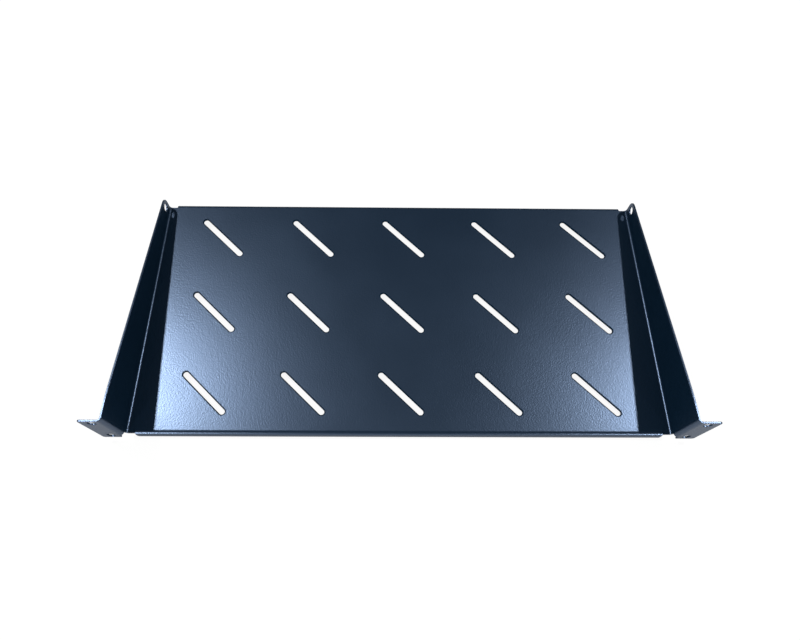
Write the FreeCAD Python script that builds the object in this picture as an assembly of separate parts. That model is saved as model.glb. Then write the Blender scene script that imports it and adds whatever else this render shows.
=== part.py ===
import FreeCAD, Part
import math
import os
from FreeCAD import Vector

# A one-rack-unit cantilever shelf folded from one sheet of steel.
#
# Frame: the origin is the centre of the four rack screw holes, on the back
# faces of the ears, which is the plane that meets the rack's front rails.
# +X runs along the shelf's width, +Y back into the rack and +Z up.
# Lengths are millimetres and angles are degrees.

# The sheet and its bends
sheet = 1.5                 # thickness of the steel
bend_radius = 2.0           # inside radius of every bend
edge_break = 0.3            # small bevel along the cut edges

# The ears, which bolt to the rack
ear_span = 482.6            # across both ears: the 19 inch panel width
ear_height = 43.65          # one rack unit less its clearance
ear_corner = 2.0            # radius of the ears' free corners
hole_side_margin = 8.75     # from the ear's outer edge to its screw holes
hole_body_margin = 8.05     # from the screw holes to the body's side
hole_end_margin = 5.95      # from the ear's top and bottom to its screw holes
hole_diameter = 6.5         # clearance for an M6 screw

# The body between the rails
wall_taper = 3.0            # each wall leans in towards the rear by this angle
shelf_depth = 222.0         # from the rails' plane to the rear face

# The front lip and the rear flange, both folded down
lip_setback = 1.0           # from the rails' plane back to the lip's face
lip_drop = 8.0              # from the tray's surface to the lip's lower edge
lip_end_gap = 6.5           # from a wall's inner face to the end of the lip
lip_corner = 1.5            # radius of the lip's lower corners

# The walls' sloping top edge and rounded rear tip
top_blend = 180.0           # radius that leads the level edge into the slope
tip_radius = 6.5            # rounding of the rear tip
tip_height = 8.3            # centre of the tip above the tray's surface
tip_hole_diameter = 6.5     # hole at the centre of the tip
corner_relief = 1.0         # slit between the wall's lower bend and the ear's

# The slanting vent slots
slot_length = 52.0          # over the round ends
slot_width = 5.8
slot_angle = 45.0           # from the rear left to the front right
slot_columns = 5
slot_rows = 3
slot_margin_side = 60.5     # from the body's side to the outer columns
slot_margin_front = 36.5    # from the rails' plane to the front row
slot_margin_rear = 35.5     # from the rear face to the rear row
slot_row_step = 1.5         # each row sits this much right of the one before
slot_shift_x = 2.0          # the whole pattern sits this much right of the middle

# The screw pattern, the body's width and the slots' pitch
hole_spacing_x = ear_span - 2 * hole_side_margin
hole_spacing_z = ear_height - 2 * hole_end_margin
body_width = hole_spacing_x - 2 * hole_body_margin
slot_pitch_x = (body_width - 2 * slot_margin_side) / (slot_columns - 1)
slot_pitch_y = (shelf_depth - slot_margin_front - slot_margin_rear) / (slot_rows - 1)
slot_centre_y = (shelf_depth + slot_margin_front - slot_margin_rear) / 2

# Heights
ear_bottom = -ear_height / 2
ear_top = ear_height / 2
tray_top = ear_bottom + sheet
lip_bottom = tray_top - lip_drop
outer_radius = bend_radius + sheet
relief_top = tray_top + bend_radius + corner_relief

# The direction of the right wall: along it, out of it, and up
taper = math.radians(wall_taper)
along = Vector(-math.sin(taper), math.cos(taper), 0)
outward = Vector(math.cos(taper), math.sin(taper), 0)
up = Vector(0, 0, 1)

# Where the right wall's outer face leaves the ear's bend, at height zero
ear_bend_x = body_width / 2 + bend_radius * outward.x
ear_bend_axis = Vector(ear_bend_x, bend_radius, 0)
wall_start = ear_bend_axis - outward * bend_radius

# Where the tray's flat surface ends
tray_corner = wall_start - outward * outer_radius
tray_front = tray_corner.y
lip_bend_y = lip_setback + outer_radius
rear_bend_y = shelf_depth - outer_radius
wall_length = (rear_bend_y - tray_front) / along.y
tray_rear_corner = tray_corner + along * wall_length

# Ends of the lip and of the rear flange
inner_face_front = (wall_start - outward * sheet).x
inner_face_rear = inner_face_front + along.x * wall_length
lip_half = inner_face_front - lip_end_gap
rear_half = inner_face_rear - lip_end_gap


def filled(edges):
    """A flat face bounded by a closed chain of edges."""
    return Part.Face(Part.Wire(edges))


def line(start, end):
    return Part.LineSegment(start, end).toShape()


def arc(start, middle, end):
    return Part.Arc(start, middle, end).toShape()


def polygon_face(points):
    return Part.Face(Part.makePolygon(points + points[:1]))


def bend(axis_point, axis, length, start, angle):
    """A strip of sheet bent about an axis, from the start direction."""
    inner = axis_point + start * bend_radius
    outer = axis_point + start * outer_radius
    reach = axis * length
    section = polygon_face([inner, outer, outer + reach, inner + reach])
    return section.revolve(axis_point, axis, angle)


def cylinder(centre, axis, diameter, length):
    """A drill of this length, centred on a point."""
    base = centre - axis * (length / 2)
    return Part.makeCylinder(diameter / 2, length, base, axis)


def slot_drill(centre):
    """A slanting slot with round ends, long enough to cut the tray."""
    radius = slot_width / 2
    half = slot_length / 2 - radius
    slant = math.radians(slot_angle)
    run = Vector(math.cos(slant), -math.sin(slant), 0)
    side = Vector(math.sin(slant), math.cos(slant), 0)
    first = centre - run * half
    last = centre + run * half
    outline = [
        line(first + side * radius, last + side * radius),
        arc(last + side * radius, last + run * radius, last - side * radius),
        line(last - side * radius, first - side * radius),
        arc(first - side * radius, first - run * radius, first + side * radius),
    ]
    return filled(outline).extrude(-up * (3 * sheet))


def slot_centres():
    """Centres of all the slots, just above the tray."""
    height = tray_top + sheet
    for row in range(slot_rows):
        step = row - (slot_rows - 1) / 2
        for column in range(slot_columns):
            across = column - (slot_columns - 1) / 2
            x = slot_shift_x + across * slot_pitch_x + step * slot_row_step
            y = slot_centre_y + step * slot_pitch_y
            yield Vector(x, y, height)


def is_sharp(solid, edge):
    """Whether the two faces at an edge meet at an angle."""
    middle = edge.valueAt((edge.FirstParameter + edge.LastParameter) / 2)
    faces = solid.ancestorsOfType(edge, Part.Face)
    normals = [face.normalAt(*face.Surface.parameter(middle)) for face in faces]
    return len(faces) == 2 and normals[0].getAngle(normals[1]) > math.radians(20)


def eased(solid, left_out):
    """The solid with its sharp edges bevelled, except the ones left out."""
    edges = [edge for edge in solid.Edges if is_sharp(solid, edge)]
    return solid.makeChamfer(edge_break, [edge for edge in edges if not left_out(edge)])


def tray():
    """The flat floor, with its slots and a notch at each end of the lip."""
    corners = [
        (tray_corner.x, tray_front),
        (tray_rear_corner.x, rear_bend_y),
        (-tray_rear_corner.x, rear_bend_y),
        (-tray_corner.x, tray_front),
        (-lip_half, tray_front),
        (-lip_half, lip_bend_y),
        (lip_half, lip_bend_y),
        (lip_half, tray_front),
    ]
    outline = [Vector(x, y, tray_top) for x, y in corners]
    plate = polygon_face(outline).extrude(-up * sheet)
    return plate.cut([slot_drill(centre) for centre in slot_centres()])


def down_flange(half_width, bend_y, facing):
    """A flange folded down across the tray, facing -Y (-1) or +Y (+1)."""
    axis_point = Vector(-half_width, bend_y, tray_top - outer_radius)
    curve = bend(axis_point, Vector(1, 0, 0), 2 * half_width, up, -90 * facing)
    outer_y = bend_y + facing * outer_radius
    top = tray_top - outer_radius
    low = lip_bottom
    r = lip_corner
    cut = r * (1 - math.sqrt(0.5))
    w = half_width

    def at(x, z):
        return Vector(x, outer_y, z)

    outline = [
        line(at(-w, top), at(w, top)),
        line(at(w, top), at(w, low + r)),
        arc(at(w, low + r), at(w - cut, low + cut), at(w - r, low)),
        line(at(w - r, low), at(r - w, low)),
        arc(at(r - w, low), at(cut - w, low + cut), at(-w, low + r)),
        line(at(-w, low + r), at(-w, top)),
    ]
    plate = filled(outline).extrude(Vector(0, -facing * sheet, 0))
    return curve.fuse(plate).removeSplitter().Solids[0]


def front_lip():
    """The lip, its edges eased up to where the tray starts."""
    def meets_tray(edge):
        return all(abs(vertex.Y - lip_bend_y) < 0.01 for vertex in edge.Vertexes)

    return eased(down_flange(lip_half, lip_bend_y, -1), meets_tray)


def wall_point(distance, height):
    """A point on the right wall's outer face, at a distance from its front."""
    return wall_start + along * distance + up * height


def wall_outline():
    """The right wall from the side: level, then sloping to a round tip."""
    foot = tray_top + bend_radius
    blend_height = ear_top - top_blend
    tip = wall_length - tip_radius
    tip_z = tray_top + tip_height
    rise = tip_z - blend_height
    reach = math.hypot(tip, rise)
    slope = math.asin((top_blend - tip_radius) / reach) - math.atan2(rise, tip)

    def on_blend(angle):
        return wall_point(top_blend * math.sin(angle),
                          blend_height + top_blend * math.cos(angle))

    def on_tip(angle):
        return wall_point(tip + tip_radius * math.sin(angle),
                          tip_z + tip_radius * math.cos(angle))

    quarter = math.pi / 2
    return [
        line(wall_point(0, foot), on_blend(0)),
        arc(on_blend(0), on_blend(slope / 2), on_blend(slope)),
        line(on_blend(slope), on_tip(slope)),
        arc(on_tip(slope), on_tip((slope + quarter) / 2), on_tip(quarter)),
        line(on_tip(quarter), wall_point(wall_length, foot)),
        line(wall_point(wall_length, foot), wall_point(0, foot)),
    ]


def wall():
    """The right wall, its bend to the tray and the hole in its tip."""
    plate = filled(wall_outline()).extrude(-outward * sheet)
    tip = wall_point(wall_length - tip_radius, tray_top + tip_height)
    plate = plate.cut(cylinder(tip, outward, tip_hole_diameter, 4 * sheet))
    axis_point = tray_corner + up * (tray_top + bend_radius)
    curve = bend(axis_point, along, wall_length, -up, -90)
    return plate.fuse(curve)


def ear():
    """The right ear and its bend to the wall, open below at the corner."""
    edge = ear_span / 2
    r = ear_corner
    cut = r * (1 - math.sqrt(0.5))
    root = ear_bend_x
    low = ear_bottom
    high = ear_top

    def at(x, z):
        return Vector(x, 0, z)

    outline = [
        line(at(root, low), at(edge - r, low)),
        arc(at(edge - r, low), at(edge - cut, low + cut), at(edge, low + r)),
        line(at(edge, low + r), at(edge, high - r)),
        arc(at(edge, high - r), at(edge - cut, high - cut), at(edge - r, high)),
        line(at(edge - r, high), at(root, high)),
        line(at(root, high), at(root, low)),
    ]
    plate = filled(outline).extrude(Vector(0, -sheet, 0))
    for side in (-1, 1):
        centre = Vector(hole_spacing_x / 2, 0, side * hole_spacing_z / 2)
        plate = plate.cut(cylinder(centre, Vector(0, 1, 0), hole_diameter, 4 * sheet))
    axis_point = ear_bend_axis + up * relief_top
    curve = bend(axis_point, up, ear_top - relief_top, Vector(0, -1, 0), wall_taper - 90)
    return plate.fuse(curve)


def at_front_corner(edge):
    """Whether an edge touches the small cuts where the lip and the ears end."""
    back = lip_bend_y + edge_break
    top = relief_top + edge_break
    side = ear_bend_x + edge_break
    return any(vertex.Y < back and vertex.Z < top and abs(vertex.X) < side
               for vertex in edge.Vertexes)


def folded_shelf():
    """The whole shelf as one folded piece, its cut edges eased."""
    right = wall().fuse(ear())
    left = right.mirror(Vector(0, 0, 0), Vector(1, 0, 0))
    rear = down_flange(rear_half, rear_bend_y, 1)
    whole = tray().fuse([right, left, front_lip(), rear]).removeSplitter()
    return eased(whole.Solids[0], at_front_corner)


os.makedirs("parts", exist_ok=True)
shelf = folded_shelf()
print("solids", len(shelf.Solids), "valid", shelf.isValid(), "volume", shelf.Volume)
shelf.Solids[0].exportStep("parts/folded_shelf.step")
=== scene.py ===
"""Dresses a folded cantilever rack shelf in its powder coat and stands it in a studio."""

import math

import bmesh
import bpy
from bpy.props import FloatProperty, FloatVectorProperty, PointerProperty
from mathutils import Matrix, Vector


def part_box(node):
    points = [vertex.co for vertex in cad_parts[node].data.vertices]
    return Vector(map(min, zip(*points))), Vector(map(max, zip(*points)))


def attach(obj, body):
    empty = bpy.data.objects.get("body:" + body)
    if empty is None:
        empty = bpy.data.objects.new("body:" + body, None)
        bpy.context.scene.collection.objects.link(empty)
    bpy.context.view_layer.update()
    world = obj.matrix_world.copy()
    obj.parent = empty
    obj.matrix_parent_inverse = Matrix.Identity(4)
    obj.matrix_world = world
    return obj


bl_info = {
    "name": "Cantilever Rack Shelf",
    "version": (1, 0, 0),
    "blender": (4, 5, 0),
    "location": "View3D > Sidebar > Rack Shelf",
    "description": "Powder coat, studio and camera for a folded rack shelf",
    "category": "Object",
}

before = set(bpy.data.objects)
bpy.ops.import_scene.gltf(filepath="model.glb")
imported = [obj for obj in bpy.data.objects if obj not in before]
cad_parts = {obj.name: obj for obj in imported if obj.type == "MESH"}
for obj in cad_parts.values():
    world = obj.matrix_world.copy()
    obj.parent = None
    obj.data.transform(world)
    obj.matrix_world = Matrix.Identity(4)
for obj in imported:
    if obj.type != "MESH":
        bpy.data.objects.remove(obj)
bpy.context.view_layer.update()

SHELF = "folded_shelf"

WHITE = (1.0, 1.0, 1.0, 1.0)
PAPER = (0.9, 0.9, 0.9, 1.0)

COAT_IOR = 1.8
CLOUD_SCALE = 18.0
CLOUD_DETAIL = 3.0
TONE_DRIFT = 0.1
ROUGHNESS_DRIFT = 0.03

BEAD_SIDES = 12
SLOT_END_STEPS = 12
MERGE_DISTANCE = 0.000001
SLOT_ROWS = (-1, 0, 1)
SLOT_COLUMNS = (-2, -1, 0, 1, 2)

HIGH_LAMP_SIZE = 0.08
LOW_LAMP_SIZE = 0.12
LEFT_LAMP_PLACE = (-1.0, 0.60, 1.48)
RIGHT_LAMP_PLACE = (1.17, 0.56, 1.48)
LEFT_EDGE_LAMP_PLACE = (-0.95, -1.33, 0.20)
RIGHT_EDGE_LAMP_PLACE = (0.95, -1.33, 0.20)

SENSOR_WIDTH = 36.0
CAMERA_LENS = 25.443
CAMERA_SHIFT = (0.0098, 0.1254)
CAMERA_PLACE = Vector((-0.0117, -0.1235, 0.4245))
CAMERA_TURN = (17.066, -0.655, -0.010)
NEAREST_SEEN = 0.01
FARTHEST_SEEN = 50.0


class PowderCoatSettings(bpy.types.PropertyGroup):
    """The baked coat on the sheet steel."""

    colour: FloatVectorProperty(
        name="Colour", description="Body colour of the coat",
        subtype="COLOR", size=3, min=0.0, max=1.0, default=(0.0008, 0.0075, 0.018),
    )
    sheen_tint: FloatVectorProperty(
        name="Sheen tint", description="Colour of the soft shine seen face on",
        subtype="COLOR", size=3, min=0.0, max=1.0, default=(0.49, 0.67, 1.0),
    )
    shine: FloatProperty(
        name="Shine", description="Strength of the soft shine on the flat sheet",
        subtype="FACTOR", min=0.0, max=1.0, default=0.8,
    )
    # Painted shade: the shine left on the slot rims, turned down so the rims read as the dark
    # shade in the slots.
    rim_shade_shine: FloatProperty(
        name="Edge shine", description="Strength of the shine on the coat's duller edges",
        subtype="FACTOR", min=0.0, max=1.0, default=0.05,
    )
    roughness: FloatProperty(
        name="Roughness", description="How widely the shine spreads",
        subtype="FACTOR", min=0.0, max=1.0, default=0.34,
    )
    grain_size: FloatProperty(
        name="Grain size", description="Width of one bump of the fine texture",
        unit="LENGTH", min=0.0001, max=0.01, default=0.001,
    )
    grain_height: FloatProperty(
        name="Grain height", description="Height of the fine texture",
        unit="LENGTH", min=0.0, max=0.001, default=0.000065,
    )


class SlotRimSettings(bpy.types.PropertyGroup):
    """The slots' places and the bead along their upper edges: a rounding of the punched edge,
    dulled to paint the shade in the slots as dark outlines.
    """

    slot_length: FloatProperty(
        name="Slot length", description="Length of a slot over its round ends",
        unit="LENGTH", default=0.052,
    )
    slot_width: FloatProperty(
        name="Slot width", description="Width of a slot",
        unit="LENGTH", default=0.0058,
    )
    slot_angle: FloatProperty(
        name="Slot angle", description="How far the slots' rear ends turn to the left",
        subtype="ANGLE", default=math.radians(45.0),
    )
    pitch_across: FloatProperty(
        name="Pitch across", description="From one column of slots to the next",
        unit="LENGTH", default=0.082,
    )
    pitch_back: FloatProperty(
        name="Pitch back", description="From one row of slots to the next",
        unit="LENGTH", default=0.075,
    )
    row_step: FloatProperty(
        name="Row step", description="How far each row sits right of the one in front",
        unit="LENGTH", default=0.0015,
    )
    middle: FloatVectorProperty(
        name="Middle slot", description="Centre of the middle slot on the tray's surface",
        subtype="XYZ", size=3, default=(0.002, 0.1115, -0.020325),
    )
    bead_radius: FloatProperty(
        name="Bead radius", description="Radius of the bead's round section",
        unit="LENGTH", default=0.00085,
    )
    bead_inset: FloatProperty(
        name="Bead inset", description="From the slot's wall back to the bead's centre",
        unit="LENGTH", default=0.0004,
    )
    bead_depth: FloatProperty(
        name="Bead depth", description="From the tray's surface down to the bead's centre",
        unit="LENGTH", default=0.00078,
    )


class StudioSettings(bpy.types.PropertyGroup):
    """The floor, the lamps and the camera."""

    floor_size: FloatProperty(
        name="Floor size", description="Length of one side of the floor",
        unit="LENGTH", min=1.0, default=12.0,
    )
    shadow_depth: FloatProperty(
        name="Shadow depth", description="How much the shelf's shadow darkens the floor",
        subtype="FACTOR", min=0.0, max=1.0, default=0.08,
    )
    left_lamp: FloatProperty(
        name="Left lamp", description="Watts of the lamp high on the left",
        min=0.0, default=19.5,
    )
    right_lamp: FloatProperty(
        name="Right lamp", description="Watts of the lamp high on the right",
        min=0.0, default=17.0,
    )
    left_edge_lamp: FloatProperty(
        name="Left edge lamp", description="Watts of the low lamp in front on the left",
        min=0.0, default=14.0,
    )
    right_edge_lamp: FloatProperty(
        name="Right edge lamp", description="Watts of the low lamp in front on the right",
        min=0.0, default=9.0,
    )
    sky_level: FloatProperty(
        name="Sky level", description="Soft light from all round",
        min=0.0, default=0.8,
    )
    glow_level: FloatProperty(
        name="Glow level", description="How bright the shine sees the room",
        min=0.0, default=0.015,
    )


def add_node(node_tree, kind, place):
    """A new node of a kind at a place in a tree."""
    node = node_tree.nodes.new(kind)
    node.location = place
    return node


def fresh_tree(owner):
    """The owner's node tree, emptied."""
    owner.use_nodes = True
    owner.node_tree.nodes.clear()
    return owner.node_tree


def powder_coat_material(name, settings, shine):
    """Blue-black powder coat: a fine orange peel under a shine of a strength."""
    material = bpy.data.materials.new(name)
    tree = fresh_tree(material)
    link = tree.links.new
    output = add_node(tree, "ShaderNodeOutputMaterial", (900, 0))
    coat = add_node(tree, "ShaderNodeBsdfPrincipled", (600, 0))
    link(coat.outputs["BSDF"], output.inputs["Surface"])
    coat.inputs["IOR"].default_value = COAT_IOR
    coat.inputs["Specular IOR Level"].default_value = shine
    coat.inputs["Specular Tint"].default_value = (*settings.sheen_tint, 1.0)

    place = add_node(tree, "ShaderNodeTexCoord", (-900, 0))

    clouds = add_node(tree, "ShaderNodeTexNoise", (-600, 200))
    clouds.inputs["Scale"].default_value = CLOUD_SCALE
    clouds.inputs["Detail"].default_value = CLOUD_DETAIL
    link(place.outputs["Object"], clouds.inputs["Vector"])

    grain = add_node(tree, "ShaderNodeTexNoise", (-600, -300))
    grain.inputs["Scale"].default_value = 1.0 / settings.grain_size
    grain.inputs["Detail"].default_value = 0.0
    link(place.outputs["Object"], grain.inputs["Vector"])

    tone = add_node(tree, "ShaderNodeMix", (200, 300))
    tone.data_type = "RGBA"
    for end, share in (("A", 1.0 - TONE_DRIFT), ("B", 1.0 + TONE_DRIFT)):
        tone.inputs[end].default_value = (*[part * share for part in settings.colour], 1.0)
    link(clouds.outputs["Fac"], tone.inputs["Factor"])
    link(tone.outputs["Result"], coat.inputs["Base Color"])

    spread = add_node(tree, "ShaderNodeMapRange", (200, 0))
    spread.inputs["To Min"].default_value = settings.roughness - ROUGHNESS_DRIFT
    spread.inputs["To Max"].default_value = settings.roughness + ROUGHNESS_DRIFT
    link(clouds.outputs["Fac"], spread.inputs["Value"])
    link(spread.outputs["Result"], coat.inputs["Roughness"])

    bump = add_node(tree, "ShaderNodeBump", (200, -300))
    bump.inputs["Strength"].default_value = 1.0
    bump.inputs["Distance"].default_value = settings.grain_height
    link(grain.outputs["Fac"], bump.inputs["Height"])
    link(bump.outputs["Normal"], coat.inputs["Normal"])
    return material


def shape_object(name, shape):
    """A named object in the scene that holds the shape."""
    mesh = bpy.data.meshes.new(name)
    shape.to_mesh(mesh)
    shape.free()
    piece = bpy.data.objects.new(name, mesh)
    bpy.context.scene.collection.objects.link(piece)
    return piece


def slot_bead(shape, settings):
    """A bead along the upper edge of one slot, which lies along Y at the origin."""
    half = (settings.slot_length - settings.slot_width) / 2
    reach = settings.slot_width / 2 + settings.bead_inset
    section = bmesh.ops.create_circle(shape, segments=BEAD_SIDES, radius=settings.bead_radius)
    verts = section["verts"]
    upright = Matrix.Rotation(math.radians(90), 3, "X")
    bmesh.ops.rotate(shape, verts=verts, matrix=upright)
    bmesh.ops.translate(shape, verts=verts, vec=(reach, half, -settings.bead_depth))
    loop = verts + shape.edges[:]
    for end, travel in ((half, -2 * half), (-half, 2 * half)):
        turned = bmesh.ops.spin(
            shape, geom=loop, cent=(0.0, end, 0.0), axis=(0.0, 0.0, 1.0),
            angle=math.pi, steps=SLOT_END_STEPS,
        )
        last = [item for item in turned["geom_last"] if isinstance(item, bmesh.types.BMEdge)]
        run = bmesh.ops.extrude_edge_only(shape, edges=last)
        moved = [item for item in run["geom"] if isinstance(item, bmesh.types.BMVert)]
        bmesh.ops.translate(shape, verts=moved, vec=(0.0, travel, 0.0))
        loop = moved + [item for item in run["geom"] if isinstance(item, bmesh.types.BMEdge)]
    bmesh.ops.remove_doubles(shape, verts=shape.verts, dist=MERGE_DISTANCE)


def slot_rims(settings):
    """The beads of all the slots, as one piece."""
    shape = bmesh.new()
    slot_bead(shape, settings)
    turn = Matrix.Rotation(settings.slot_angle, 3, "Z")
    bmesh.ops.rotate(shape, verts=shape.verts, matrix=turn)
    pattern = shape.verts[:]
    first = pattern + shape.edges[:] + shape.faces[:]
    for row in SLOT_ROWS:
        for column in SLOT_COLUMNS:
            copied = bmesh.ops.duplicate(shape, geom=first)
            verts = [item for item in copied["geom"] if isinstance(item, bmesh.types.BMVert)]
            across = column * settings.pitch_across + row * settings.row_step
            place = Vector(settings.middle) + Vector((across, row * settings.pitch_back, 0.0))
            bmesh.ops.translate(shape, verts=verts, vec=place)
    bmesh.ops.delete(shape, geom=pattern, context="VERTS")
    bmesh.ops.recalc_face_normals(shape, faces=shape.faces)
    for face in shape.faces:
        face.smooth = True
    return shape_object("slot_rims", shape)


def flat_square(name, side, height):
    """A level square of a side, centred under the shelf."""
    shape = bmesh.new()
    bmesh.ops.create_grid(shape, x_segments=1, y_segments=1, size=side / 2)
    bmesh.ops.translate(shape, verts=shape.verts, vec=(0.0, 0.0, height))
    return shape_object(name, shape)


def floor_material(settings):
    """Pale floor that reads white to the eye and keeps the shelf's soft shadow."""
    material = bpy.data.materials.new("studio_floor")
    tree = fresh_tree(material)
    link = tree.links.new
    output = add_node(tree, "ShaderNodeOutputMaterial", (900, 0))
    paper = add_node(tree, "ShaderNodeBsdfDiffuse", (0, 100))
    paper.inputs["Color"].default_value = PAPER
    white = add_node(tree, "ShaderNodeEmission", (0, -100))
    white.inputs["Color"].default_value = WHITE
    seen = add_node(tree, "ShaderNodeMixShader", (300, 0))
    seen.inputs["Fac"].default_value = settings.shadow_depth
    link(white.outputs["Emission"], seen.inputs[1])
    link(paper.outputs["BSDF"], seen.inputs[2])
    path = add_node(tree, "ShaderNodeLightPath", (0, 400))
    choice = add_node(tree, "ShaderNodeMixShader", (600, 0))
    link(path.outputs["Is Camera Ray"], choice.inputs["Fac"])
    link(paper.outputs["BSDF"], choice.inputs[1])
    link(seen.outputs["Shader"], choice.inputs[2])
    link(choice.outputs["Shader"], output.inputs["Surface"])
    return material


def white_sky(tree, strength, place):
    """A white sky of a strength."""
    light = add_node(tree, "ShaderNodeBackground", place)
    light.inputs["Color"].default_value = WHITE
    light.inputs["Strength"].default_value = strength
    return light


def light_sky(settings):
    """White to the eye, soft light for matt surfaces and a dim glow for the shine."""
    world = bpy.data.worlds.new("studio_sky")
    tree = fresh_tree(world)
    link = tree.links.new
    output = add_node(tree, "ShaderNodeOutputWorld", (600, 0))
    sky = white_sky(tree, settings.sky_level, (0, 100))
    white = white_sky(tree, 1.0, (0, -100))
    glow = white_sky(tree, settings.glow_level, (0, -300))
    path = add_node(tree, "ShaderNodeLightPath", (0, 400))
    soft = add_node(tree, "ShaderNodeMixShader", (200, 0))
    link(path.outputs["Is Diffuse Ray"], soft.inputs["Fac"])
    link(glow.outputs["Background"], soft.inputs[1])
    link(sky.outputs["Background"], soft.inputs[2])
    choice = add_node(tree, "ShaderNodeMixShader", (400, 0))
    link(path.outputs["Is Camera Ray"], choice.inputs["Fac"])
    link(soft.outputs["Shader"], choice.inputs[1])
    link(white.outputs["Background"], choice.inputs[2])
    link(choice.outputs["Shader"], output.inputs["Surface"])
    bpy.context.scene.world = world


def round_lamp(name, watts, size, place, target):
    """A round lamp at a place, aimed at the target."""
    lamp = bpy.data.lights.new(name, "AREA")
    lamp.shape = "DISK"
    lamp.size = size
    lamp.energy = watts
    # Lamp light passed on between wall and tray would pale the dark strips.
    lamp.cycles.max_bounces = 0
    holder = bpy.data.objects.new(name, lamp)
    holder.location = place
    holder.rotation_mode = "QUATERNION"
    holder.rotation_quaternion = (Vector(place) - target).to_track_quat("Z", "Y")
    bpy.context.scene.collection.objects.link(holder)


def studio_camera():
    """A camera above the front edge that looks down into the tray."""
    optics = bpy.data.cameras.new("studio_camera")
    optics.sensor_width = SENSOR_WIDTH
    optics.lens = CAMERA_LENS
    optics.shift_x = CAMERA_SHIFT[0]
    optics.shift_y = CAMERA_SHIFT[1]
    optics.clip_start = NEAREST_SEEN
    optics.clip_end = FARTHEST_SEEN
    camera = bpy.data.objects.new("studio_camera", optics)
    camera.location = CAMERA_PLACE
    camera.rotation_euler = [math.radians(angle) for angle in CAMERA_TURN]
    bpy.context.scene.collection.objects.link(camera)
    bpy.context.scene.camera = camera


class RACKSHELF_OT_powder_coat(bpy.types.Operator):
    """Coat the folded shelf"""

    bl_idname = "rackshelf.powder_coat"
    bl_label = "Coat the Shelf"

    def execute(self, context):
        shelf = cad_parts[SHELF]
        settings = context.scene.rackshelf_coat
        coat = powder_coat_material("powder_coat", settings, settings.shine)
        shelf.data.materials.clear()
        shelf.data.materials.append(coat)
        return {"FINISHED"}


class RACKSHELF_OT_slot_rims(bpy.types.Operator):
    """Add the bead along the upper edges of the slots, dulled to paint the shade in the slots
    as dark outlines
    """

    bl_idname = "rackshelf.slot_rims"
    bl_label = "Add the Slot Rims"

    def execute(self, context):
        rims = slot_rims(context.scene.rackshelf_rims)
        settings = context.scene.rackshelf_coat
        # Painted shade: a copy of the coat with its shine turned down, so the rims read as
        # the shade of the slots' walls and under the tray.
        painted_shade_rim_coat = powder_coat_material("powder_coat_painted_shade_rim", settings, settings.rim_shade_shine)
        rims.data.materials.append(painted_shade_rim_coat)
        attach(rims, "root")
        return {"FINISHED"}


class RACKSHELF_OT_stage(bpy.types.Operator):
    """Add the floor, the sky, the four lamps and the camera"""

    bl_idname = "rackshelf.stage"
    bl_label = "Set the Stage"

    def execute(self, context):
        settings = context.scene.rackshelf_studio
        low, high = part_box(SHELF)
        floor = flat_square("studio_floor", settings.floor_size, low.z)
        floor.data.materials.append(floor_material(settings))
        light_sky(settings)
        middle = (low + high) / 2
        for name, watts, size, place in (
            ("lamp_left", settings.left_lamp, HIGH_LAMP_SIZE, LEFT_LAMP_PLACE),
            ("lamp_right", settings.right_lamp, HIGH_LAMP_SIZE, RIGHT_LAMP_PLACE),
            ("edge_left", settings.left_edge_lamp, LOW_LAMP_SIZE, LEFT_EDGE_LAMP_PLACE),
            ("edge_right", settings.right_edge_lamp, LOW_LAMP_SIZE, RIGHT_EDGE_LAMP_PLACE),
        ):
            round_lamp(name, watts, size, place, middle)
        studio_camera()
        context.scene.view_settings.view_transform = "Standard"
        return {"FINISHED"}


class RACKSHELF_PT_panel(bpy.types.Panel):
    """Sidebar panel for the rack shelf"""

    bl_label = "Rack Shelf"
    bl_idname = "RACKSHELF_PT_panel"
    bl_space_type = "VIEW_3D"
    bl_region_type = "UI"
    bl_category = "Rack Shelf"

    def draw(self, context):
        layout = self.layout
        for group, operator in (
            (context.scene.rackshelf_coat, RACKSHELF_OT_powder_coat),
            (context.scene.rackshelf_rims, RACKSHELF_OT_slot_rims),
            (context.scene.rackshelf_studio, RACKSHELF_OT_stage),
        ):
            column = layout.column(align=True)
            for name in group.bl_rna.properties.keys():
                if name not in ("rna_type", "name"):
                    column.prop(group, name)
            column.operator(operator.bl_idname)


CLASSES = (
    PowderCoatSettings,
    SlotRimSettings,
    StudioSettings,
    RACKSHELF_OT_powder_coat,
    RACKSHELF_OT_slot_rims,
    RACKSHELF_OT_stage,
    RACKSHELF_PT_panel,
)


def register():
    for item in CLASSES:
        bpy.utils.register_class(item)
    bpy.types.Scene.rackshelf_coat = PointerProperty(type=PowderCoatSettings)
    bpy.types.Scene.rackshelf_rims = PointerProperty(type=SlotRimSettings)
    bpy.types.Scene.rackshelf_studio = PointerProperty(type=StudioSettings)


def unregister():
    del bpy.types.Scene.rackshelf_studio
    del bpy.types.Scene.rackshelf_rims
    del bpy.types.Scene.rackshelf_coat
    for item in reversed(CLASSES):
        bpy.utils.unregister_class(item)


def main():
    register()
    bpy.ops.rackshelf.powder_coat()
    bpy.ops.rackshelf.slot_rims()
    bpy.ops.rackshelf.stage()


if __name__ == "__main__":
    main()
